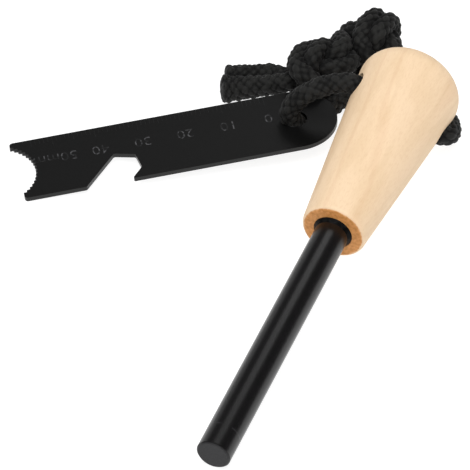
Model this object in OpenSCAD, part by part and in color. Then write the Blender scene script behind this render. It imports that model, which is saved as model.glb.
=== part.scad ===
// A fire starter lying on a table: a ferrocerium rod glued in a turned wooden handle, and a stamped steel
// striker plate on a braided lanyard that is tied in two knots. Millimetres, +Z up, table at z = 0.

/* [Handle] */
// Length of the wooden handle along its axis
handle_len = 54.5; // [48:0.5:65]
// Radius of the handle at its narrow end
handle_narrow_r = 7.6; // [7:0.1:8.5]
// Rounding of the narrow end's edge
handle_narrow_round = 1.1; // [0.3:0.1:1.4]
// Largest radius of the handle, near its butt
handle_wide_r = 12.15; // [11:0.05:13]
// Rounding where the side turns into the butt
butt_round = 5; // [3.5:0.5:6]
// Radius of the shallow dome that closes the butt
butt_dome_r = 26; // [20:1:40]

/* [Ferro rod] */
// Diameter of the rod
rod_d = 7.8; // [6:0.1:8]
// Length of rod that stands out of the handle
rod_exposed = 71.5; // [60:0.5:80]
// Length of rod that is glued inside the handle
rod_embedded = 28.5; // [20:0.5:32]
// Chamfer at both ends of the rod
rod_chamfer = 0.4; // [0.2:0.1:0.8]

/* [Adhesive] */
// Thickness of the adhesive between the rod and the wood
glue_gap = 0.6; // [0.3:0.1:0.8]
// Depth of adhesive behind the rod's inner end
glue_floor = 0.5; // [0.2:0.1:1]
// Height of the bead that stands out of the bore along the rod
bead_h = 0.9; // [0.4:0.1:1.5]
// How far the bead spreads over the wood past the bore
bead_lap = 0.1; // [0.05:0.05:0.2]

/* [Cord hole in the handle] */
// Diameter of the cross hole
cross_hole_d = 6; // [5.6:0.1:7]
// Distance of the cross hole from the narrow end
cross_hole_at = 41.5; // [38:0.5:44]
// Roll of the cross hole from level, its left mouth upwards
cross_hole_roll = 27; // [24:1:30]

/* [Striker plate] */
// Width of the plate
plate_w = 19.5; // [17:0.5:20]
// Thickness of the plate
plate_t = 1.1; // [0.8:0.1:1.5]
// Distance from the cord hole to the toothed end
plate_reach = 65.9; // [60:0.1:75]
// Diameter of the cord hole
plate_hole_d = 5.5; // [5:0.1:6]
// Rounding of the two corners at the toothed end
plate_corner_r = 0.8; // [0.4:0.1:1.2]

/* [Toothed end] */
// Radius of the hollow in the end
bite_r = 9.6; // [9:0.1:12]
// Depth of the hollow
bite_depth = 4.6; // [3:0.1:5]
// Spacing of the teeth along the hollow
tooth_pitch = 1.1; // [0.8:0.05:1.3]
// Height of a tooth
tooth_h = 0.45; // [0.2:0.05:0.6]
// How much shorter the prong at the notched edge is
prong_short = 0.6; // [0.2:0.1:1]

/* [Hooked notch] */
// Distance from the cord hole to the tip of the hook
hook_at = 40.2; // [36:0.1:42]
// Width of the notch at the plate's edge
notch_mouth = 10.7; // [10:0.1:13]
// Depth of the notch from the edge
notch_depth = 9.5; // [8:0.1:11]
// Length of the notch's floor
notch_floor = 4.8; // [3:0.1:6]
// How much shallower the floor is at its hook end
notch_floor_rise = 1.5; // [0.5:0.1:2]
// How far the floor reaches behind the hook's tip
notch_floor_back = 2.1; // [0.8:0.05:2.4]
// How far the hollow behind the hook reaches past the tip
hook_undercut = 2.8; // [1.8:0.05:3]
// Height of the hook at that hollow
hook_h = 3.4; // [2.5:0.1:5.5]
// Rounding of the notch's inner corners
notch_round = 0.6; // [0.3:0.1:0.8]
// Rounding of the hook's tip
hook_round = 0.3; // [0.15:0.05:0.5]

/* [Striker placement] */
// Place of the cord hole to the left of the rod's axis
striker_left = 23.25; // [23:0.05:24]
// Distance of the cord hole from the rod's tip, along the table
striker_along = 107.8; // [104:0.05:112]
// Direction from the cord hole to the toothed end, counter-clockwise from +X
striker_turn = 213.3; // [208:0.1:220]
// Height of the plate's underside at the cord hole, over the cord that runs beneath
striker_rise = 4.7; // [4.6:0.1:6]

/* [Lanyard] */
// Diameter of the cord
cord_d = 4.4; // [4:0.1:4.5]

/* [Hidden] */
through = 1;
rod_r = rod_d / 2;
bore_r = rod_r + glue_gap;
bore_end = rod_exposed + rod_embedded + glue_floor;
rod_len = rod_exposed + rod_embedded;

// Section of the handle: an arc at the narrow edge, a straight side, the butt's rounding and the dome.
// Stations run along the axis from the narrow face.
edge_mid = [handle_narrow_r - handle_narrow_round, handle_narrow_round];
dome_mid = [0, handle_len - butt_dome_r];
butt_mid_r = handle_wide_r - butt_round;
butt_mid = [butt_mid_r, dome_mid[1] + sqrt((butt_dome_r - butt_round) ^ 2 - butt_mid_r ^ 2)];
side = butt_mid - edge_mid;
side_lean = atan2(side[0], side[1]) + asin((butt_round - handle_narrow_round) / norm(side));
side_out = [cos(side_lean), -sin(side_lean)];
dome_join = dome_mid + (butt_mid - dome_mid) * butt_dome_r / (butt_dome_r - butt_round);

// The axis leans up so that the rod's tip and the butt's rounding both touch the table
lean_run = rod_exposed + butt_mid[1] - rod_chamfer;
lean_rise = butt_mid_r - rod_r;
lean = asin(butt_round / norm([lean_run, lean_rise])) + atan(lean_rise / lean_run);
tip_z = rod_r * cos(lean) - rod_chamfer * sin(lean);

// The plate rests on its toothed end and is held up at its cord hole
striker_dip = asin(striker_rise / plate_reach);
plate_half = plate_w / 2;
bite_mid = plate_reach + bite_r - bite_depth;
bite_half = acos((bite_r - bite_depth) / bite_r);
near_half = acos((bite_r - bite_depth + prong_short) / bite_r);
teeth = floor((bite_half + near_half) * PI / 180 * bite_r / tooth_pitch);

// Middle of the box round the handle, the rod and the plate, measured from the rod's tip
corner_mid = [plate_reach - prong_short - plate_corner_r, plate_half - plate_corner_r];
corner_reach = corner_mid[0] * cos(striker_dip) + plate_t * sin(striker_dip);
plate_left = -striker_left + cos(striker_turn) * corner_reach + sin(striker_turn) * corner_mid[1]
    - plate_corner_r * norm([cos(striker_turn) * cos(striker_dip), sin(striker_turn)]);
near_y = -(rod_r - rod_chamfer) * sin(lean);
far_y = (rod_exposed + dome_mid[1]) * cos(lean) + butt_dome_r;
middle = [(handle_wide_r + plate_left) / 2, (near_y + far_y) / 2, 0];

// Routes of the cord, from the rod's tip: the striker's side, from the inner knot under the plate, up through
// its hole and into the handle, then the handle's side, through the wood and round the butt to the same knot
striker_route = [
    [-17.6, 135.6, 3.8], [-16.7, 132.4, 2.7], [-16.3, 128.4, 2.3], [-16.7, 124.4, 2.3], [-18.3, 120.2, 2.3],
    [-20.6, 114.8, 2.3], [-22.2, 110.6, 2.3], [-22.8, 109.3, 2.7], [-23.2, 108.3, 3.7], [-23.5, 107.7, 5.1],
    [-24.2, 107.3, 6.8], [-24.7, 107.1, 8.5], [-24.4, 107.3, 10.3], [-23.3, 107.7, 12], [-21.6, 108.4, 13.4],
    [-19.2, 109.4, 14.8], [-16.5, 110.5, 16], [-13.9, 111.6, 16.8], [-11.6, 112.4, 17.1],
    [-10, 112.7, 16.6], [-8, 112.7, 15.6]];
handle_route = [
    [-8, 112.7, 15.6], [8, 112.7, 7.6], [10, 112.7, 6.6], [11.5, 113, 5.9], [12.5, 114.2, 5.5],
    [12.8, 115.9, 5.1], [12.5, 118, 4.4], [11.7, 120.6, 3.3], [10.2, 123.4, 2.5], [7.6, 126.6, 2.3],
    [4, 129.3, 2.3], [-1, 131.8, 2.3], [-6, 134, 2.4], [-10.4, 136.4, 3.2], [-14.2, 138.8, 4.6]];
low_link_route = [[-24.5, 131, 4.2], [-23.2, 133.8, 4], [-21.5, 137.2, 4.8]];
high_link_route = [[-22.7, 130.6, 8.5], [-21.4, 133.5, 8.6], [-20, 137.2, 8.4]];
front_tail_route = [[-28.9, 121.1, 3], [-33, 119.3, 2.4], [-38.5, 117.1, 2.3], [-44.1, 114.9, 2.3]];
back_tail_route = [[-29.5, 126.4, 3.2], [-34, 124.9, 2.5], [-39.5, 122.8, 2.3], [-45, 120.7, 2.3]];
cord_sides = 10;

// Each knot: its middle, the direction of its core about Z, the core's rise, its length and its radius
inner_knot = [[-18, 141, 6.6], 47, 4, 16.5, 6.8];
outer_knot = [[-26.2, 126.2, 6.2], 22, 0, 13.4, 6.4];
knot_turns = 3;
knot_ridge = 1.4;
knot_rings = 18;
knot_sides = 22;

function unit(v) = v / norm(v);

// Points of the arc of radius r that replaces corner b on the way from a to c
function rounded(a, b, c, r, steps = 4) =
    let (to_a = unit(a - b), to_c = unit(c - b), half = acos(to_a * to_c) / 2,
         mid = b + unit(to_a + to_c) * r / sin(half), from = b + to_a * r / tan(half) - mid,
         turn = (cross(to_a, to_c) > 0 ? -1 : 1) * (180 - 2 * half), start = atan2(from[1], from[0]))
    [for (i = [0:steps]) mid + r * [cos(start + turn * i / steps), sin(start + turn * i / steps)]];

// Direction of a route at point i
function heading(route, i) =
    let (last = len(route) - 1)
    i == 0 ? unit(route[1] - route[0]) : i == last ? unit(route[last] - route[last - 1])
    : unit(unit(route[i] - route[i - 1]) + unit(route[i + 1] - route[i]));

// Sideways directions at every point of a route, each the last one turned as little as it can be
function sideways(route, i = 0, last_side = [0.001, 0.002, 1]) =
    i == len(route) ? []
    : let (along = heading(route, i), aside = unit(last_side - along * (last_side * along)))
      concat([aside], sideways(route, i + 1, aside));

// A closed solid from rings of points, each with as many sides
module closed_tube(points, rings, sides) {
    walls = [for (i = [0:rings - 2]) for (s = [0:sides - 1])
             let (a = i * sides + s, b = i * sides + (s + 1) % sides)
             for (f = [[a, a + sides, b], [b, a + sides, b + sides]]) f];
    near_cap = [for (s = [0:sides - 1]) s];
    far_cap = [for (s = [sides - 1:-1:0]) (rings - 1) * sides + s];
    polyhedron(points, concat(walls, [near_cap, far_cap]));
}

// A tube swept along a route, its rings square to the way on
module tube(route, r, sides) {
    aside = sideways(route);
    points = [for (i = [0:len(route) - 1]) let (up = cross(heading(route, i), aside[i]))
              for (s = [0:sides - 1]) let (a = 360 * s / sides)
              route[i] + r * (aside[i] * cos(a) + up * sin(a))];
    closed_tube(points, len(route), sides);
}

// Everything is drawn from the rod's tip, then moved so that the origin lies under the middle of the object
module from_tip() {
    translate(-middle) children();
}

// The rod's axis becomes +Z, with the tip at 0
module on_axis() {
    from_tip() translate([0, 0, tip_z]) rotate([lean - 90, 0, 0]) children();
}

// The plate's cord hole is at 0, with its underside at z = 0 and the toothed end towards +X
module on_striker() {
    from_tip() translate([-striker_left, striker_along, striker_rise]) rotate([0, striker_dip, striker_turn])
        children();
}

module handle_section() {
    polygon([[0, 0], [edge_mid[0], 0], edge_mid + handle_narrow_round * side_out,
             butt_mid + butt_round * side_out, dome_join, [0, dome_join[1]]]);
    translate(edge_mid) circle(r = handle_narrow_round, $fn = 48);
    translate(butt_mid) circle(r = butt_round, $fn = 96);
    intersection() {
        translate(dome_mid) circle(r = butt_dome_r, $fn = 192);
        translate([0, dome_join[1]]) square([dome_join[0], handle_len]);
    }
}

module handle() {
    color("#EBCFA3") on_axis() difference() {
        translate([0, 0, rod_exposed]) rotate_extrude($fn = 128) handle_section();
        translate([0, 0, rod_exposed - through])
            cylinder(r = bore_r, h = bore_end - rod_exposed + through, $fn = 64);
        translate([0, 0, rod_exposed + cross_hole_at]) rotate([0, 90, cross_hole_roll])
            cylinder(d = cross_hole_d, h = 2 * handle_wide_r + 2 * through, center = true, $fn = 48);
    }
}

module ferro_rod() {
    color("#2C2C30") on_axis() rotate_extrude($fn = 96)
        polygon([[0, 0], [rod_r - rod_chamfer, 0], [rod_r, rod_chamfer], [rod_r, rod_len - rod_chamfer],
                 [rod_r - rod_chamfer, rod_len], [0, rod_len]]);
}

module rod_adhesive() {
    color("#141418") on_axis() rotate_extrude($fn = 96)
        polygon([[rod_r, rod_exposed - bead_h], [bore_r + bead_lap, rod_exposed], [bore_r, rod_exposed],
                 [bore_r, bore_end], [0, bore_end], [0, rod_len], [rod_r - rod_chamfer, rod_len],
                 [rod_r, rod_len - rod_chamfer]]);
}

// Outline of the plate without its round end, from the far edge round the toothed end and the notch
module plate_outline() {
    far_corner = [plate_reach, -plate_half];
    near_corner = [plate_reach - prong_short, plate_half];
    lip = [hook_at + notch_mouth, plate_half];
    floor_back = [hook_at - notch_floor_back, plate_half - notch_depth + notch_floor_rise];
    floor_front = [floor_back[0] + notch_floor, plate_half - notch_depth];
    hollow = [hook_at - hook_undercut, plate_half - hook_h];
    tip = [hook_at, plate_half];
    polygon(concat(
        [[0, -plate_half]],
        rounded([0, -plate_half], far_corner, [plate_reach, 0], plate_corner_r),
        [for (i = [0:2 * teeth])
            let (a = (bite_half + near_half) * i / teeth / 2 - bite_half, r = bite_r + (i % 2) * tooth_h)
            [bite_mid - r * cos(a), r * sin(a)]],
        rounded([near_corner[0], 0], near_corner, [0, plate_half], plate_corner_r),
        rounded(near_corner, lip, floor_front, notch_round),
        rounded(lip, floor_front, floor_back, notch_round),
        rounded(floor_front, floor_back, hollow, notch_round),
        rounded(floor_back, hollow, tip, notch_round),
        rounded(hollow, tip, [0, plate_half], hook_round),
        [[0, plate_half]]));
}

module striker_plate() {
    color("#303134") on_striker() difference() {
        linear_extrude(plate_t) union() {
            plate_outline();
            circle(r = plate_half, $fn = 96);
        }
        translate([0, 0, -through]) cylinder(d = plate_hole_d, h = plate_t + 2 * through, $fn = 64);
    }
}

module cord_striker_loop() {
    color("#1D1D20") from_tip() tube(striker_route, cord_d / 2, cord_sides);
}

module cord_handle_loop() {
    color("#1D1D20") from_tip() tube(handle_route, cord_d / 2, cord_sides);
}

// The two strands between the knots
module cord_knot_link() {
    color("#1D1D20") from_tip() {
        tube(low_link_route, cord_d / 2, cord_sides);
        tube(high_link_route, cord_d / 2, cord_sides);
    }
}

module cord_tail_front() {
    color("#1D1D20") from_tip() tube(front_tail_route, cord_d / 2, cord_sides);
}

module cord_tail_back() {
    color("#1D1D20") from_tip() tube(back_tail_route, cord_d / 2, cord_sides);
}

// A point on a knot, a share t along its core and at angle a round it: the cord winds round as a ridge
function knot_point(k, t, a) =
    let (x = -cos(180 * t) / 2, core = (k[4] - knot_ridge) * sqrt(sin(180 * t)),
         r = core + knot_ridge * abs(sin(180 * knot_turns * x + a / 2)),
         along = [cos(k[1]) * cos(k[2]), sin(k[1]) * cos(k[2]), sin(k[2])],
         across = [-sin(k[1]), cos(k[1]), 0],
         p = k[0] + x * k[3] * along + r * (cos(a) * across + sin(a) * cross(along, across)))
    [p[0], p[1], max(p[2], 0)];

// A knot, flat where it lies on the table
module knot(k) {
    points = [for (i = [1:knot_rings - 1]) for (s = [0:knot_sides - 1])
              knot_point(k, i / knot_rings, 360 * s / knot_sides)];
    closed_tube(points, knot_rings - 1, knot_sides);
}

module cord_knot_inner() {
    color("#1D1D20") from_tip() knot(inner_knot);
}

module cord_knot_outer() {
    color("#1D1D20") from_tip() knot(outer_knot);
}

handle();
ferro_rod();
rod_adhesive();
striker_plate();
cord_striker_loop();
cord_handle_loop();
cord_knot_inner();
cord_knot_link();
cord_knot_outer();
cord_tail_front();
cord_tail_back();
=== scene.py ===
import math

import bpy
import numpy as np
from mathutils import Matrix, Vector


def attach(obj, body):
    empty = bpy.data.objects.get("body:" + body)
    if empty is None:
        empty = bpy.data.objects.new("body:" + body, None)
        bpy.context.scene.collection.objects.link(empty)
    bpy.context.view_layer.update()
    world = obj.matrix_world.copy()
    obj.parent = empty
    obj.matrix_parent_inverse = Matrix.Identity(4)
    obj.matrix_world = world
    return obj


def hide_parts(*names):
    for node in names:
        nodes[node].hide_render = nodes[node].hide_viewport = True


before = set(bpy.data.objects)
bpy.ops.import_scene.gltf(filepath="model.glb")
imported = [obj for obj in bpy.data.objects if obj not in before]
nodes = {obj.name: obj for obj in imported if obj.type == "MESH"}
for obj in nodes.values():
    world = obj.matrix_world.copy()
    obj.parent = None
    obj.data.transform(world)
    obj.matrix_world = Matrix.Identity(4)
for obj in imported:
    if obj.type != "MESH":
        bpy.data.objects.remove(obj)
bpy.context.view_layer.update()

mm = 0.001

# the handle and rod lie along this line; every route below is measured from under the rod's tip, in mm
rodTip = np.array([35.3251, -62.7598, 3.86306])
rodAxis = np.array([0, 0.997612, 0.0690621])
tableTip = rodTip * [1, 1, 0]

camera = {
    "at": (0.3101, -0.7306, 0.71775),
    "aim": (0.0117, 0.00849, 0.0001),
    "lens": 361.9,          # a long lens from a metre away, mm
}

photoLens = bpy.data.cameras.new("photoLens")
photoLens.lens = camera["lens"]
photoLens.clip_end = 20
photoCamera = bpy.data.objects.new("photoCamera", photoLens)
bpy.context.scene.collection.objects.link(photoCamera)
photoCamera.location = camera["at"]
photoCamera.rotation_euler = (Vector(camera["aim"]) - Vector(camera["at"])).to_track_quat("-Z", "Y").to_euler()
bpy.context.scene.camera = photoCamera
print("camera placed")

lanyard = {
    "packed": 3.7,          # how close two strands lie where a knot presses them together, mm
    "lowest": 2.1,          # height of a strand's centre over the table
    "step": 1.25,           # spacing of the points that settle
    "settleRounds": 260,
    "bend": 0.1,
    "knotHold": 0.1,        # how firmly a tied knot keeps its shape while the rest settles
    "tieLength": 66,        # cord in each strand of a knot while it is drawn tight
    "tieRounds": 2600,
    "tiePoints": 56,
}

# roll, turn and rise in degrees; the leads at its two sides are cut this far from the knot's middle
outerKnot = {"roll": 316.5, "turn": 30, "rise": 38.6, "size": 0.95, "mid": (-25.2, 124.3, 6.3), "cut": (4.1, 6.3)}
innerKnot = {"roll": -1.6, "turn": 20.9, "rise": 17.9, "size": 1, "mid": (-17.2, 140, 5.8), "cut": (7, 3.8)}

# from the handle's cross hole, down through the plate's hole, under the plate and on to the inner knot
strikerRoute = [
    [0, 112.7, 11.6], [-8, 112.7, 15.6], [-10, 112.7, 16.5], [-11.8, 112.3, 17], [-13.8, 111.5, 16.9],
    [-16.1, 110.6, 16.4], [-18.3, 109.7, 15.5], [-20.2, 108.9, 14.3], [-21.9, 108.2, 12.9], [-23.3, 107.6, 11.2],
    [-24.3, 107.2, 9.4], [-24.7, 107, 7.8], [-24.3, 107.2, 6.4], [-23.5, 107.7, 5.1], [-23.2, 108.3, 3.7],
    [-22.8, 109.3, 2.7], [-22.2, 110.6, 2.3], [-20.6, 114.8, 2.3], [-18.3, 120.2, 2.3], [-16.7, 124.4, 2.3],
]
strikerLead = [[-16.7, 124.4, 2.3], [-16.7, 128.4, 2.3], [-18.7, 131.7, 2.2], [-15.4, 135, 2.4], [-13.6, 139, 2.2],
               [-13.4, 140.8, 2.8]]
# out of the hole's right end, drawn hard against the wood, and round behind the butt to the inner knot
handleRoute = [
    [0, 112.7, 11.6], [7, 112.9, 8.3], [9.6, 113.3, 7.2], [11.2, 114.1, 6.7], [11.9, 115.4, 6.3],
    [11.7, 117.1, 5.7], [11, 119, 4.9], [10, 121.2, 3.8], [8.7, 123.6, 2.8], [6.8, 126.2, 2.3],
    [4, 128.9, 2.3], [0, 131.4, 2.3],
]
handleLead = [[0, 131.4, 2.3], [-2.4, 133.2, 2.3], [-4.3, 134.6, 3.6], [-8, 137.2, 2.4], [-12.6, 139.9, 2.7]]
frontTail = [[-44.1, 115.1, 2.6], [-41, 116.9, 2.4], [-38.5, 118.3, 2.3], [-35.5, 119.9, 2.4], [-33, 121.3, 2.8]]
backTail = [[-45, 119.9, 2.4], [-39.5, 122.9, 2.3], [-36, 125, 2.5], [-33, 126.9, 3.2]]


def lengthOf(line):
    return np.linalg.norm(np.diff(line, axis=0), axis=1).sum()


def alongLine(line):
    return np.concatenate([[0], np.cumsum(np.linalg.norm(np.diff(line, axis=0), axis=1))])


def respaced(line, count):
    at = np.linspace(0, alongLine(line)[-1], count)
    return np.stack([np.interp(at, alongLine(line), line[:, k]) for k in range(line.shape[1])], axis=1)


# a smooth curve through the points
def smoothCurve(points, step):
    p = np.array(points, float)
    p = np.concatenate([[2 * p[0] - p[1]], p, [2 * p[-1] - p[-2]]])
    t = np.linspace(0, 1, 12, endpoint=False)[:, None]
    pieces = []
    for i in range(1, len(p) - 2):
        a, b, c, d = p[i - 1:i + 3]
        pieces.append(0.5 * (2 * b + (c - a) * t + (2 * a - 5 * b + 4 * c - d) * t ** 2
                             + (3 * b - a - 3 * c + d) * t ** 3))
    line = np.concatenate(pieces + [p[-2:-1]])
    return respaced(line, max(2, int(lengthOf(line) / step)))


# two strands side by side through an overhand knot that isn't drawn tight yet
def looseKnot(points, lead):
    t = np.linspace(np.pi + 0.5, 3 * np.pi - 0.5, 300)
    s = 1.25 * lanyard["packed"]
    ring = s * np.stack([np.sin(t) + 2 * np.sin(2 * t), np.cos(t) - 2 * np.cos(2 * t), -1.25 * np.sin(3 * t)], axis=1)
    reach = max(lead, 2.6 * s)
    arm = np.array([[reach, -3.6 * s, 0], [2.2 * s, -3.9 * s, 0], [0.6 * s, -3.8 * s, 0.1 * s],
                    [0.4 * s, -3.3 * s, 0.2 * s]])
    line = respaced(np.concatenate([arm, ring, arm[::-1] * [-1, 1, -1]]), 500)
    for _ in range(300):
        line[1:-1] += 0.4 * (line[:-2] + line[2:] - 2 * line[1:-1])
    line[:, 1] += 1.6 * s
    side = np.cross(np.gradient(line, axis=0), [0, 0, 1.0])
    side /= np.linalg.norm(side, axis=1)[:, None]
    return np.array([respaced(line + side * lanyard["packed"] * k, points) for k in (0.55, -0.55)])


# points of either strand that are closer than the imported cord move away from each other
def pushApart(strands, skip):
    gap, n = lanyard["packed"], strands.shape[1]
    strand, place = np.repeat([0, 1], n), np.tile(np.arange(n), 2)
    points = strands.reshape(-1, 3)
    away = points[:, None, :] - points[None, :, :]
    dist = np.sqrt((away * away).sum(2)) + 1e-9
    sameStretch = (strand[:, None] == strand[None, :]) & (np.abs(place[:, None] - place[None, :]) <= skip)
    push = np.where((dist < gap) & ~sameStretch, (gap - dist) / dist, 0.0) * 0.2
    return (points + (push[:, :, None] * away).sum(1)).reshape(2, n, 3)


def keepSpacing(strands, rest):
    for first in (0, 1):
        a, b = strands[:, first:-1:2], strands[:, first + 1::2]
        step = b - a
        fix = step * (1 - rest / np.linalg.norm(step, axis=2, keepdims=True)) * 0.5
        a += fix
        b -= fix


# the knot after its cord has been drawn through it by both ends
def drawnTight(lead=13.0):
    n, rounds = lanyard["tiePoints"], lanyard["tieRounds"]
    strands = looseKnot(n, lead)
    loose = np.linalg.norm(np.diff(strands, axis=1), axis=2).mean()
    tight = lanyard["tieLength"] / (n - 1)
    starts = strands[:, 0].copy(), strands[:, -1].copy()
    goals = []
    for start, side in zip(starts, (1, -1)):
        goal = np.array([[side * lead, 0.52 * lanyard["packed"], 0], [side * lead, -0.52 * lanyard["packed"], 0]])
        goals.append(goal if (start[0] - start[1]) @ (goal[0] - goal[1]) > 0 else goal[::-1])
    for i in range(rounds):
        rest = loose + (tight - loose) * min(1, i / (0.75 * rounds))
        pulled = min(1, i / (0.3 * rounds))
        strands[:, 1:-1] += lanyard["bend"] * (strands[:, :-2] + strands[:, 2:] - 2 * strands[:, 1:-1])
        strands = pushApart(strands, int(np.ceil(1.4 * lanyard["packed"] / rest)))
        for _ in range(4):
            keepSpacing(strands, rest)
            for end, start, goal in zip((0, -1), starts, goals):
                strands[:, end] = start + (goal - start) * pulled
    return strands[:, ::-1] * [1, 1, -1]


# the tied knot, turned and put where the photograph shows it
def placedKnot(knot, tied):
    near = [(s[:, 0] > -knot["cut"][0]) & (s[:, 0] < knot["cut"][1]) for s in tied]
    strands = [s[np.argmax(keep):len(s) - np.argmax(keep[::-1])] for s, keep in zip(tied, near)]
    middle = np.concatenate([s[np.abs(s[:, 0]) < 7] for s in strands]).mean(0) * [0, 1, 1]
    turns = (Matrix.Rotation(math.radians(knot["turn"]), 3, "Z")
             @ Matrix.Rotation(math.radians(-knot["rise"]), 3, "Y")
             @ Matrix.Rotation(math.radians(knot["roll"]), 3, "X"))
    return [(s - middle) * knot["size"] @ np.array(turns).T + knot["mid"] for s in strands]


# pushes a strand's centre out of the turned handle
def clearOfHandle(points):
    tip, radius = rodTip - tableTip, 2.2
    out = points - tip
    along = out @ rodAxis - 71.5
    across = out - (out @ rodAxis)[..., None] * rodAxis
    dist = np.linalg.norm(across, axis=-1)
    side = np.where(along < 45, 7.5 + 0.1 * along, 12.1)
    end = 12.1 * np.sqrt(np.maximum(0.01, 1 - 0.8 * ((along - 46) / 8.5) ** 2))
    handle = np.where(along < 48, side, end)
    inside = (along > 0) & (along < 54.5)
    push = np.maximum(0, np.where(inside, handle + radius - dist, 0))
    return points + across / dist[..., None] * push[..., None]


# second's strands in the order that meets first's
def nearest(first, second):
    straight = sum(np.linalg.norm(a[-1] - b[0]) for a, b in zip(first, second))
    crossed = sum(np.linalg.norm(a[-1] - b[0]) for a, b in zip(first, second[::-1]))
    return second if straight <= crossed else second[::-1]


# tails, outer knot, link, inner knot and leads as two strands that lie on the table and on each other
def settledLanyard():
    tied = drawnTight()
    tails = [np.array(frontTail, float), np.array(backTail, float)]
    leads = [np.array(strikerLead[::-1], float), np.array(handleLead[::-1], float)]
    outer = nearest(tails, placedKnot(outerKnot, tied))
    inner = nearest(outer, placedKnot(innerKnot, tied))
    leads = nearest(inner, leads)
    lines = [np.concatenate(parts) for parts in zip(tails, outer, inner, leads)]
    count = max(int(round(lengthOf(line) / lanyard["step"])) for line in lines)
    strands, holds = [], []
    for parts, line in zip(zip(tails, outer, inner, leads), lines):
        firm = [np.zeros(len(part)) for part in parts]
        firm[1][2:-2] = firm[2][2:-2] = 1
        strands.append(respaced(line, count))
        at = np.linspace(0, lengthOf(line), count)
        holds.append(np.interp(at, alongLine(line), np.concatenate(firm)))
    strands, holds = np.array(strands), np.array(holds)[..., None]
    home = strands.copy()
    rest = np.linalg.norm(np.diff(strands, axis=1), axis=2).mean(1)[:, None, None] * 0.99
    for _ in range(lanyard["settleRounds"]):
        strands[:, 1:-1] += lanyard["bend"] * (strands[:, :-2] + strands[:, 2:] - 2 * strands[:, 1:-1])
        strands += lanyard["knotHold"] * holds * (home - strands)
        strands = pushApart(strands, int(np.ceil(1.4 * lanyard["packed"] / lanyard["step"])))
        strands[..., 2] = np.maximum(strands[..., 2], lanyard["lowest"])
        strands = clearOfHandle(strands)
        for _ in range(3):
            keepSpacing(strands, rest)
            strands[:, :3], strands[:, -3:] = home[:, :3], home[:, -3:]
    strands[..., 2] = np.maximum(strands[..., 2], lanyard["lowest"])
    return strands


braid = {
    "radius": 1.78,         # to the yarns' edges, mm
    "carriers": 6,          # yarns each way round
    "bumpPitch": 2.3,       # between bumps in one row along the cord
    "crown": 0.34,          # how far a yarn's middle stands over its edges
    "overUnder": 0.38,      # how far a yarn rises and dips as it crosses the others
    "uneven": 0.22,         # how much bumps differ in height
    "drift": 0.09,          # how far the rows wander round the cord, radians
    "slip": 0.16,           # and along it, mm
    "ownStretch": 8,        # a strand's own next 8 mm paint no shade on it
    "shadeFrom": 4.2,       # a strand's middle closer than this to a point shades it, mm
    "sides": 48,
    "ringStep": 0.22,
}


# height of the braid's surface, with each point's place across its yarn and its bump's own shade
def braidHeight(around, along):
    around, along = around + braid["drift"] * np.sin(along / 1.9 + 2 * np.sin(along / 7.3)), \
        along + braid["slip"] * np.sin(2 * around + along / 2.7)
    a = braid["carriers"] * around / (2 * np.pi) + along / braid["bumpPitch"]
    b = braid["carriers"] * around / (2 * np.pi) - along / braid["bumpPitch"]
    uneven = np.random.default_rng(11).random(97)
    heights, across, shades = [], [], []
    for own, other, sign in ((a, b, 1), (b, a, -1)):
        f = own - np.round(own)
        bump = np.round(own).astype(int) % braid["carriers"] * 13 + np.round(other).astype(int) * 7
        shade = uneven[bump % 97]
        crown = np.sqrt(np.maximum(0, 1 - (2 * f) ** 2))
        over = sign * np.cos(np.pi * (other + np.round(own)))
        heights.append(braid["crown"] * crown + braid["overUnder"] * over + braid["uneven"] * (shade - 0.5))
        across.append(f)
        shades.append(shade)
    onTop = heights[0] > heights[1]
    return np.maximum(heights[0], heights[1]), np.where(onTop, *across), np.where(onTop, *shades)


# directions across a line that turn with it and don't twist
def frames(line):
    tangents = np.gradient(line, axis=0)
    tangents /= np.linalg.norm(tangents, axis=1)[:, None]
    side = np.cross(tangents[0], [0.3, 0.2, 0.9])
    sides = []
    for t in tangents:
        side = side - (side @ t) * t
        side /= np.linalg.norm(side)
        sides.append(side)
    sides = np.array(sides)
    return tangents, sides, np.cross(tangents, sides)


# painted shade on each point from strands that pass close to it, from 0 to 1
def paintedShadeBetween(points, along, line, otherLine):
    own, other = respaced(line, int(lengthOf(line))), respaced(otherLine, int(lengthOf(otherLine)))
    ownAlong = alongLine(own)
    paintedShade = np.zeros(points.shape[:2])
    for i, ring in enumerate(points):
        near = np.concatenate([own[np.abs(ownAlong - along[i]) > braid["ownStretch"]], other])
        gap = np.sqrt(((ring[:, None] - near[None]) ** 2).sum(2)).min(1)
        paintedShade[i] = np.clip((braid["shadeFrom"] - gap) / (braid["shadeFrom"] - braid["radius"]), 0, 1)
    return paintedShade


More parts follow.
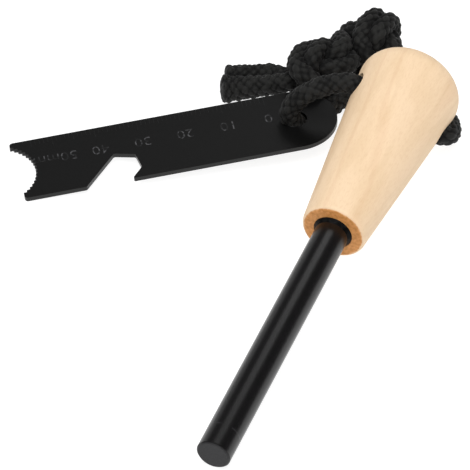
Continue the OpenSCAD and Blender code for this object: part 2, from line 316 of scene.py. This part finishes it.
# a braided sweep along the line; its last end is cut and spreads to flareEnd times its width
def braidedCord(name, line, otherLine, flareEnd, flareLength):
    count = int(lengthOf(line) / braid["ringStep"])
    line = respaced(line, count)
    for _ in range(60):
        line[1:-1] += 0.25 * (line[:-2] + line[2:] - 2 * line[1:-1])
    line = respaced(line, count)
    along = alongLine(line)
    tangents, sides, ups = frames(line)
    around = np.linspace(0, 2 * np.pi, braid["sides"], endpoint=False)
    height, across, shade = braidHeight(around[None, :], along[:, None])
    fromEnd = np.clip(1 - (along[-1] - along) / flareLength, 0, 1)
    spread = 1 + (flareEnd - 1) * fromEnd ** 1.5
    radius = (braid["radius"] + height) * spread[:, None]
    out = sides[:, None] * np.cos(around)[None, :, None] + ups[:, None] * np.sin(around)[None, :, None]
    rings = [line[:, None] + out * radius[..., None]]
    acrossRings, heights, shades = [across], [height], [shade]
    paintedShade = paintedShadeBetween(rings[0], along, line, otherLine)
    rng = np.random.default_rng(7)
    # the cut end bulges, with the ends of the yarns' fibres showing
    for share, bulge in ((0.9, 0.35), (0.68, 0.6), (0.42, 0.75), (0.16, 0.8)):
        rough = rng.uniform(-0.09, 0.09, braid["sides"])
        ring = line[-1] + out[-1] * (radius[-1] * share)[:, None] + tangents[-1] * (bulge + rough)[:, None]
        rings.append(ring[None])
        acrossRings.append(rng.uniform(-0.5, 0.5, (1, braid["sides"])))
        heights.append(rng.uniform(0.1, 0.5, (1, braid["sides"])))
        shades.append(rng.uniform(0, 1, (1, braid["sides"])))
    rings = np.concatenate([ring.reshape(-1, 3) for ring in rings])
    rings[:, 2] = np.maximum(rings[:, 2], 0.05)   # pressed flat where it lies on the table
    across, height, shade = np.concatenate(acrossRings), np.concatenate(heights), np.concatenate(shades)
    paintedShade = np.concatenate([paintedShade, np.repeat(paintedShade[-1:], len(across) - len(paintedShade), axis=0)])
    n, m = len(across), braid["sides"]
    i, j = np.meshgrid(np.arange(n - 1), np.arange(m), indexing="ij")
    k = (j + 1) % m
    quads = np.stack([i * m + j, i * m + k, (i + 1) * m + k, (i + 1) * m + j], axis=-1).reshape(-1, 4)
    ends = [list(range(m))[::-1], list(range((n - 1) * m, n * m))]
    mesh = bpy.data.meshes.new(name)
    mesh.from_pydata(((rings + tableTip) * mm).tolist(), [], quads.tolist() + ends)
    mesh.shade_smooth()
    for attribute, values in (("yarnAcross", across), ("yarnHeight", height), ("yarnShade", shade),
                              ("paintedShade", paintedShade)):
        layer = mesh.attributes.new(attribute, "FLOAT", "POINT")
        layer.data.foreach_set("value", values.ravel().astype(np.float32))
    cord = bpy.data.objects.new(name, mesh)
    bpy.context.scene.collection.objects.link(cord)
    path = (respaced(line, int(along[-1])) + tableTip) * mm
    return cord, path, along[-1] * mm


settled = settledLanyard()
ends = {"striker": np.array(strikerLead[0]), "handle": np.array(handleLead[0])}
strandFor = {name: int(np.argmin([np.linalg.norm(s[-1] - end) for s in settled])) for name, end in ends.items()}
wholeLines = {
    name: smoothCurve(np.concatenate([np.array(route[:-1], float), settled[strandFor[name]][::-1]]), 0.4)
    for name, route in (("striker", strikerRoute), ("handle", handleRoute))
}
cords = {}
for name, otherName, knotNodes in (
    ("striker", "handle", ("cord_striker_loop", "cord_knot_inner", "cord_knot_outer")),
    ("handle", "striker", ("cord_handle_loop", "cord_knot_link")),
):
    isFront = strandFor[name] == 0
    cord, path, length = braidedCord(f"lanyard_{name}_strand", wholeLines[name], wholeLines[otherName],
                                     1.4 if isFront else 1.2, 12 if isFront else 6)
    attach(cord, "root")
    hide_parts(*knotNodes, "cord_tail_front" if isFront else "cord_tail_back")
    cords[name] = cord
    print(f"{cord.name} laid, {length * 1000:.0f} mm")


# sRGB hex to the linear colour that nodes take
def linear(hexColour, alpha=1.0):
    parts = [int(hexColour[i:i + 2], 16) / 255 for i in (1, 3, 5)]
    return [c / 12.92 if c <= 0.04045 else ((c + 0.055) / 1.055) ** 2.4 for c in parts] + [alpha]


# adds a node; settings are its properties or input values, links are the sockets that feed its inputs
def addNode(tree, kind, settings=None, links=None):
    node = tree.nodes.new(kind)
    for key, value in (settings or {}).items():
        if isinstance(key, str) and hasattr(node, key):
            setattr(node, key, value)
        else:
            node.inputs[key].default_value = value
    for key, socket in (links or {}).items():
        tree.links.new(socket, node.inputs[key])
    return node


def newMaterial(name, shaderSettings):
    material = bpy.data.materials.new(name)
    material.use_nodes = True
    tree = material.node_tree
    shader = tree.nodes["Principled BSDF"]
    for key, value in shaderSettings.items():
        shader.inputs[key].default_value = value
    return material, tree, shader


def addRamp(tree, fac, stops):
    ramp = addNode(tree, "ShaderNodeValToRGB", links={"Fac": fac})
    elements = ramp.color_ramp.elements
    while len(elements) < len(stops):
        elements.new(0.5)
    for element, (at, colour) in zip(elements, stops):
        element.position = at
        element.color = linear(colour)
    return ramp


def dress(name, material):
    slots = nodes[name].material_slots
    for slot in slots:
        slot.material = material


# distance from the rod's tip along its axis, in mm, and the coordinates it comes from
def alongRod(tree):
    coords = addNode(tree, "ShaderNodeTexCoord")
    scaled = addNode(tree, "ShaderNodeVectorMath", {"operation": "SCALE", "Scale": 1000.0},
                     {0: coords.outputs["Object"]})
    moved = addNode(tree, "ShaderNodeVectorMath", {"operation": "SUBTRACT", 1: tuple(rodTip)}, {0: scaled.outputs[0]})
    dot = addNode(tree, "ShaderNodeVectorMath", {"operation": "DOT_PRODUCT", 1: tuple(rodAxis)}, {0: moved.outputs[0]})
    return dot.outputs["Value"], moved.outputs[0]


# black braided polyester: matt, each yarn a soft bump of fine fibres, with painted shade making it nearly black in the
# creases and a painted highlight on the highest bumps
cordLook = {"crown": "#0f0f0e", "paintedGlint": "#1c1c1b", "paintedCreaseShade": "#010101", "fibresPerYarn": 4, "fibreDepth": 0.04}

cordMaterial, tree, shader = newMaterial("blackBraidedPolyester", {
    "Roughness": 0.7, "Specular IOR Level": 0.18, "Sheen Weight": 0.05, "Sheen Roughness": 0.5,
})
heightOf = addNode(tree, "ShaderNodeAttribute", {"attribute_name": "yarnHeight"})
acrossOf = addNode(tree, "ShaderNodeAttribute", {"attribute_name": "yarnAcross"})
shadeOf = addNode(tree, "ShaderNodeAttribute", {"attribute_name": "yarnShade"})
low, high = 0.2, braid["crown"] + braid["overUnder"]
level = addNode(tree, "ShaderNodeMapRange", {"From Min": low, "From Max": high}, {"Value": heightOf.outputs["Fac"]})
coords = addNode(tree, "ShaderNodeTexCoord")
# fading and lint in patches of a few millimetres
patches = addNode(tree, "ShaderNodeTexNoise", {"Scale": 350.0, "Detail": 3.0}, {"Vector": coords.outputs["Object"]})
patched = addNode(tree, "ShaderNodeMath", {"operation": "MULTIPLY_ADD", 1: 0.35},
                  {0: patches.outputs["Fac"], 2: level.outputs[0]})
shade = addNode(tree, "ShaderNodeMath", {"operation": "MULTIPLY_ADD", 1: 0.4},
                {0: shadeOf.outputs["Fac"], 2: patched.outputs[0]})
# painted shade: black where strands press on each other
paintedShadeOf = addNode(tree, "ShaderNodeAttribute", {"attribute_name": "paintedShade"})
shaded = addNode(tree, "ShaderNodeMath", {"operation": "MULTIPLY_ADD", 1: -1.0},
                 {0: paintedShadeOf.outputs["Fac"], 2: shade.outputs[0]})
# painted shade and highlight by the braid's height: low points take the crease shade, the highest bumps the glint
cordColour = addRamp(tree, shaded.outputs[0],
                     [(0.4, cordLook["paintedCreaseShade"]), (0.8, cordLook["crown"]), (1.0, cordLook["paintedGlint"])])
tree.links.new(cordColour.outputs["Color"], shader.inputs["Base Color"])
# fibres of about 0.3 mm, coarser than the real ones so that they show
turns = addNode(tree, "ShaderNodeMath", {"operation": "MULTIPLY", 1: 2 * math.pi * cordLook["fibresPerYarn"]},
                {0: acrossOf.outputs["Fac"]})
wave = addNode(tree, "ShaderNodeMath", {"operation": "SINE"}, {0: turns.outputs[0]})
fuzz = addNode(tree, "ShaderNodeTexNoise", {"Scale": 4000.0, "Detail": 2.0}, {"Vector": coords.outputs["Object"]})
fibres = addNode(tree, "ShaderNodeMath", {"operation": "MULTIPLY_ADD", 1: 0.35}, {0: wave.outputs[0],
                                                                                 2: fuzz.outputs["Fac"]})
bump = addNode(tree, "ShaderNodeBump", {"Strength": 0.6, "Distance": cordLook["fibreDepth"] * mm},
               {"Height": fibres.outputs[0]})
tree.links.new(bump.outputs[0], shader.inputs["Normal"])
for cord in cords.values():
    cord.data.materials.append(cordMaterial)

# pale maple, turned and finely sanded: creamy, faint straight grain, short darker flecks, browner end grain
woodLook = {"light": "#ecd0ae", "band": "#e6c9a5", "fleck": "#d0a474", "ringLine": "#c98f5e", "ringLineShare": 0.11,
            "endGrain": "#dc9b5b", "endDark": "#c18143"}

woodMaterial, tree, shader = newMaterial("turnedMaple", {"Roughness": 0.55, "Specular IOR Level": 0.3})
alongMm, coordsMm = alongRod(tree)
# annual rings about 2.5 mm wide run the handle's length
stretched = addNode(tree, "ShaderNodeMapping", {"vector_type": "POINT", "Scale": (0.4, 0.018, 0.4)},
                    {"Vector": coordsMm})
rings = addNode(tree, "ShaderNodeTexNoise", {"Scale": 1.0, "Detail": 3.0, "Roughness": 0.55, "Distortion": 0.4},
                {"Vector": stretched.outputs[0]})
# pores 0.3 mm wide and about 1.5 mm long
fleckSpace = addNode(tree, "ShaderNodeMapping", {"vector_type": "POINT", "Scale": (3.6, 0.7, 3.6)},
                     {"Vector": coordsMm})
flecks = addNode(tree, "ShaderNodeTexNoise", {"Scale": 1.0, "Detail": 2.0}, {"Vector": fleckSpace.outputs[0]})
ringColour = addRamp(tree, rings.outputs["Fac"], [(0.35, woodLook["band"]), (0.6, woodLook["light"])])
fleckAmount = addNode(tree, "ShaderNodeMapRange", {"From Min": 0.48, "From Max": 0.78, "To Max": 0.26},
                      {"Value": flecks.outputs["Fac"]})
# the thin brown line that ends a year's growth, every 6 mm or so, wavering across the handle
lineSpace = addNode(tree, "ShaderNodeMapping", {"vector_type": "POINT", "Rotation": (0.0, 0.5, 0.09),
                                                "Scale": (1.0, 0.12, 1.0)}, {"Vector": coordsMm})
yearLines = addNode(tree, "ShaderNodeTexWave", {"Scale": 0.052, "Distortion": 5.0, "Detail": 2.0,
                                                "Detail Scale": 1.6}, {"Vector": lineSpace.outputs[0]})
lineAmount = addNode(tree, "ShaderNodeMapRange", {"From Min": 0.86, "From Max": 1.0, "To Max": woodLook["ringLineShare"]},
                     {"Value": yearLines.outputs["Fac"]})
lined = addNode(tree, "ShaderNodeMix", {"data_type": "RGBA", 7: linear(woodLook["ringLine"])},
                {"Factor": lineAmount.outputs[0], 6: ringColour.outputs["Color"]})
flecked = addNode(tree, "ShaderNodeMix", {"data_type": "RGBA", 7: linear(woodLook["fleck"])},
                  {"Factor": fleckAmount.outputs[0], 6: lined.outputs[2]})
# the narrow end's face is end grain, with a slightly ragged border on the rounded edge
endNoise = addNode(tree, "ShaderNodeTexNoise", {"Scale": 1.4, "Detail": 4.0}, {"Vector": coordsMm})
ragged = addNode(tree, "ShaderNodeMath", {"operation": "MULTIPLY_ADD", 1: 0.2},
                 {0: endNoise.outputs["Fac"], 2: alongMm})
isEnd = addNode(tree, "ShaderNodeMapRange", {"From Min": 71.78, "From Max": 71.66}, {"Value": ragged.outputs[0]})
endColour = addRamp(tree, endNoise.outputs["Fac"], [(0.35, woodLook["endDark"]), (0.65, woodLook["endGrain"])])
woodColour = addNode(tree, "ShaderNodeMix", {"data_type": "RGBA"},
                     {"Factor": isEnd.outputs[0], 6: flecked.outputs[2], 7: endColour.outputs["Color"]})
tree.links.new(woodColour.outputs[2], shader.inputs["Base Color"])
bump = addNode(tree, "ShaderNodeBump", {"Strength": 0.25, "Distance": 0.05 * mm}, {"Height": flecks.outputs["Fac"]})
tree.links.new(bump.outputs[0], shader.inputs["Normal"])
dress("handle", woodMaterial)

# ferrocerium under black paint: smooth satin black, faintly mottled, bare dull grey on the cut end
rodLook = {"paint": "#090709", "paintDark": "#040404", "metal": "#242426", "metalDark": "#1c1c1e", "scratchAt": 6.1}

rodMaterial, tree, shader = newMaterial("blackPaintedFerrocerium", {"IOR": 1.42})
alongMm, coordsMm = alongRod(tree)
isBare = addNode(tree, "ShaderNodeMapRange", {"From Min": 0.3, "From Max": 0.12}, {"Value": alongMm})
speckle = addNode(tree, "ShaderNodeTexNoise", {"Scale": 2.2, "Detail": 4.0}, {"Vector": coordsMm})
metalColour = addRamp(tree, speckle.outputs["Fac"], [(0.35, rodLook["metalDark"]), (0.65, rodLook["metal"])])
mottle = addNode(tree, "ShaderNodeTexNoise", {"Scale": 1.2, "Detail": 2.0}, {"Vector": coordsMm})
paintColour = addRamp(tree, mottle.outputs["Fac"], [(0.4, rodLook["paintDark"]), (0.6, rodLook["paint"])])
rodColour = addNode(tree, "ShaderNodeMix", {"data_type": "RGBA"},
                    {"Factor": isBare.outputs[0], 6: paintColour.outputs["Color"], 7: metalColour.outputs["Color"]})
# a scratch round the paint, 0.3 mm wide, that fades in and out
fromRing = addNode(tree, "ShaderNodeMath", {"operation": "COMPARE", 1: rodLook["scratchAt"], 2: 0.15}, {0: alongMm})
wearAndGlints = addNode(tree, "ShaderNodeTexNoise", {"Scale": 0.5, "Detail": 2.0}, {"Vector": coordsMm})
worn = addNode(tree, "ShaderNodeMapRange", {"From Min": 0.45, "From Max": 0.6}, {"Value": wearAndGlints.outputs["Fac"]})
scratch = addNode(tree, "ShaderNodeMath", {"operation": "MULTIPLY"}, {0: fromRing.outputs[0], 1: worn.outputs[0]})
scratched = addNode(tree, "ShaderNodeMix", {"data_type": "RGBA", 7: linear("#3a3a3c")},
                    {"Factor": scratch.outputs[0], 6: rodColour.outputs[2]})
tree.links.new(scratched.outputs[2], shader.inputs["Base Color"])
rodRough = addNode(tree, "ShaderNodeMapRange", {"To Min": 0.29, "To Max": 0.6}, {"Value": isBare.outputs[0]})
tree.links.new(rodRough.outputs[0], shader.inputs["Roughness"])
bump = addNode(tree, "ShaderNodeBump", {"Strength": 0.15, "Distance": 0.02 * mm}, {"Height": speckle.outputs["Fac"]})
tree.links.new(bump.outputs[0], shader.inputs["Normal"])
dress("ferro_rod", rodMaterial)

# cured black epoxy: glossy, with a slightly uneven skin
glueMaterial, tree, shader = newMaterial("curedBlackEpoxy", {
    "Base Color": linear("#020202"), "Roughness": 0.32, "Specular IOR Level": 0.07,
})
coords = addNode(tree, "ShaderNodeTexCoord")
ripples = addNode(tree, "ShaderNodeTexNoise", {"Scale": 900.0, "Detail": 1.0}, {"Vector": coords.outputs["Object"]})
bump = addNode(tree, "ShaderNodeBump", {"Strength": 0.9, "Distance": 0.12 * mm}, {"Height": ripples.outputs["Fac"]})
tree.links.new(bump.outputs[0], shader.inputs["Normal"])
dress("rod_adhesive", glueMaterial)

# stamped steel with a black powder coat: satin, very fine orange peel
plateMaterial, tree, shader = newMaterial("blackCoatedSteel", {"Roughness": 0.32, "Specular IOR Level": 0.36})
coords = addNode(tree, "ShaderNodeTexCoord")
peel = addNode(tree, "ShaderNodeTexNoise", {"Scale": 2500.0, "Detail": 2.0}, {"Vector": coords.outputs["Object"]})
plateColour = addRamp(tree, peel.outputs["Fac"], [(0.3, "#060606"), (0.7, "#0a0a0a")])
tree.links.new(plateColour.outputs["Color"], shader.inputs["Base Color"])
bump = addNode(tree, "ShaderNodeBump", {"Strength": 0.1, "Distance": 0.02 * mm}, {"Height": peel.outputs["Fac"]})
tree.links.new(bump.outputs[0], shader.inputs["Normal"])
dress("striker_plate", plateMaterial)
print("materials made")

ruler = {
    "holeMid": (12.0423, 45.0187, 5.2486),         # middle of the plate's hole, halfway through the plate, mm
    "along": (-0.833679, -0.547625, -0.0713202),  # towards the toothed end
    "across": (0.549023, -0.835807, 0.0),         # towards the edge with the notch
    "halfThick": 0.55,
    "edge": -9.75,          # the ruled edge
    "zero": 5.9,            # the 0 mark's distance from the hole
    "digitMid": -2.1,
    "digitHeight": 3.0,
    "stroke": 0.1,          # line width
    "proud": 0.02,
}

# etched marks, nearly black, with painted highlights: short grey dashes of about a millimetre where the strokes would
# catch the light
marksLook = {"figures": ("#141415", "#4a4a4c"), "ticks": ("#0b0b0c", "#18181a"), "dashesPerMetre": 800.0}

marksMaterials = {}
for marks in ("figures", "ticks"):
    marksMaterials[marks], tree, shader = newMaterial(f"etchedPaintedGlints_{marks}", {"Roughness": 0.35})
    coords = addNode(tree, "ShaderNodeTexCoord")
    # painted highlights: the noise picks short stretches of each stroke to show grey, as glints where light would
    # catch them
    wearAndGlints = addNode(tree, "ShaderNodeTexNoise", {"Scale": marksLook["dashesPerMetre"], "Detail": 1.0},
                   {"Vector": coords.outputs["Object"]})
    marksColour = addRamp(tree, wearAndGlints.outputs["Fac"], list(zip((0.46, 0.58), marksLook[marks])))
    tree.links.new(marksColour.outputs["Color"], shader.inputs["Base Color"])

plateAxes = Matrix((ruler["along"], ruler["across"], np.cross(ruler["along"], ruler["across"]).tolist())).transposed()
plateTop = Matrix.Translation(Vector(ruler["holeMid"])) @ plateAxes.to_4x4() @ Matrix.Translation(
    (0, 0, ruler["halfThick"]))


# a thin piece lying on the plate's top face; verts are along, across and up from the hole, in mm
def onPlate(name, verts, faces, material):
    mesh = bpy.data.meshes.new(name)
    mesh.from_pydata([tuple((plateTop @ Vector(v)) * mm) for v in verts], [], faces)
    mesh.validate()
    piece = bpy.data.objects.new(name, mesh)
    bpy.context.scene.collection.objects.link(piece)
    mesh.materials.append(material)
    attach(piece, "striker")
    return piece


verts, faces = [], []
for tick in range(0, 56):
    reach = 3 if tick % 10 == 0 else 2.3 if tick % 5 == 0 else 1.8
    at, half, top = ruler["zero"] + tick, ruler["stroke"] / 2, ruler["proud"]
    start = ruler["edge"] + 0.15
    base = len(verts)
    for z in (-0.02, top):
        verts += [(at - half, start, z), (at + half, start, z), (at + half, start + reach, z),
                  (at - half, start + reach, z)]
    faces += [[base + k for k in face] for face in (
        (4, 5, 6, 7), (3, 2, 1, 0), (0, 1, 5, 4), (1, 2, 6, 5), (2, 3, 7, 6), (3, 0, 4, 7))]
onPlate("ruler_ticks", verts, faces, marksMaterials["ticks"])

for number, at in (("0", 5.96), ("10", 15.4), ("20", 25.6), ("30", 35.6), ("40", 45.6), ("50mm", 56.2)):
    words = bpy.data.curves.new("words", "FONT")
    words.body = number
    words.size = ruler["digitHeight"] / 0.72
    words.align_x = "CENTER"
    words.align_y = "CENTER"
    words.extrude = ruler["proud"]
    words.offset = -0.05
    words.resolution_u = 3
    holder = bpy.data.objects.new("words", words)
    bpy.context.scene.collection.objects.link(holder)
    bpy.context.view_layer.update()
    drawn = holder.to_mesh()
    verts = [(v.co.x + at, v.co.y + ruler["digitMid"], v.co.z) for v in drawn.vertices]
    faces = [list(f.vertices) for f in drawn.polygons]
    holder.to_mesh_clear()
    bpy.data.objects.remove(holder)
    bpy.data.curves.remove(words)
    onPlate("ruler_" + number, verts, faces, marksMaterials["figures"])
print("ruler drawn")

studio = {"floor": "#959595", "floorGlow": 0.88, "sky": 0.14}
bpy.context.scene.view_settings.view_transform = "Standard"   # plain sRGB, as the colours here are given

floorMesh = bpy.data.meshes.new("floor")
floorMesh.from_pydata([(-3, -3, 0), (3, -3, 0), (3, 3, 0), (-3, 3, 0)], [], [(0, 1, 2, 3)])
floor = bpy.data.objects.new("floor", floorMesh)
floor.location.z = -0.0002
bpy.context.scene.collection.objects.link(floor)
floorMaterial, tree, shader = newMaterial("matWhitePaper", {
    "Base Color": linear(studio["floor"]), "Roughness": 0.9, "Specular IOR Level": 0.1,
    "Emission Color": (1, 1, 1, 1), "Emission Strength": studio["floorGlow"],
})
floorMesh.materials.append(floorMaterial)

world = bpy.data.worlds.new("studio")
bpy.context.scene.world = world
world.use_nodes = True
world.node_tree.nodes["Background"].inputs["Color"].default_value = (1, 1, 1, 1)
world.node_tree.nodes["Background"].inputs["Strength"].default_value = studio["sky"]


def softbox(name, at, aim, size, power):
    light = bpy.data.lights.new(name, "AREA")
    light.shape = "RECTANGLE"
    light.size, light.size_y = size
    light.energy = power
    box = bpy.data.objects.new(name, light)
    box.location = at
    box.rotation_euler = (Vector(aim) - Vector(at)).to_track_quat("-Z", "Y").to_euler()
    bpy.context.scene.collection.objects.link(box)


softbox("topLight", (0.05, -0.5, 1.6), (0, 0, 0), (1.4, 1.4), 27)
softbox("backLight", (0.06, 1.1, 1.15), (0.03, 0.0, 0), (0.78, 0.4), 3.2)
softbox("fillLight", (-0.6, 1.1, 1.5), (0, 0, 0), (1.4, 0.9), 0.1)
softbox("lowLight", (-1.4, 1.4, 0.45), (0, 0, 0), (1.0, 0.8), 1.5)
softbox("leftLight", (-1.3, -0.6, 0.9), (0, 0, 0), (0.8, 0.8), 3.6)
softbox("rightLight", (1.3, -0.6, 0.9), (0, 0, 0), (0.8, 0.8), 6.4)
print("lights placed")
